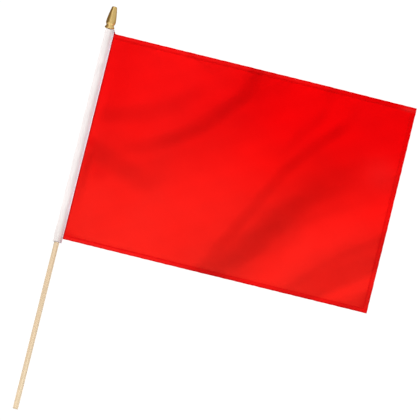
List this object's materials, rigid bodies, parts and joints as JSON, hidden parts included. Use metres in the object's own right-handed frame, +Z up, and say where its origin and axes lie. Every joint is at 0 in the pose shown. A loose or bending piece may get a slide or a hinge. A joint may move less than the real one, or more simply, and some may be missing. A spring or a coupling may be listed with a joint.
{
  "type": "cloth hand flag on a wooden stick with a gold cap",
  "caption": "Hand flag: a hemmed plain red cloth sewn to a white sleeve on a slim wooden stick with a blunt gold cap.",
  "frame": {"origin": "the middle of the stick's flat foot", "axes": "+Z up the stick towards the cap; +X from the stick towards the cloth's free fly edge; -Y towards the side seen in the picture"},
  "size_m": [0.3115, 0.021, 0.3993],
  "materials": {
    "stick_wood": "bare, sanded",
    "gold_plastic": "metallic gold, glossy",
    "white_cloth": "matte, thin",
    "red_cloth": "matte, fine weave"
  },
  "bodies": {
    "root": {"stick": "stick_wood", "finial": "gold_plastic", "sleeve": "white_cloth", "cloth": "red_cloth"}
  },
  "joints": []
}
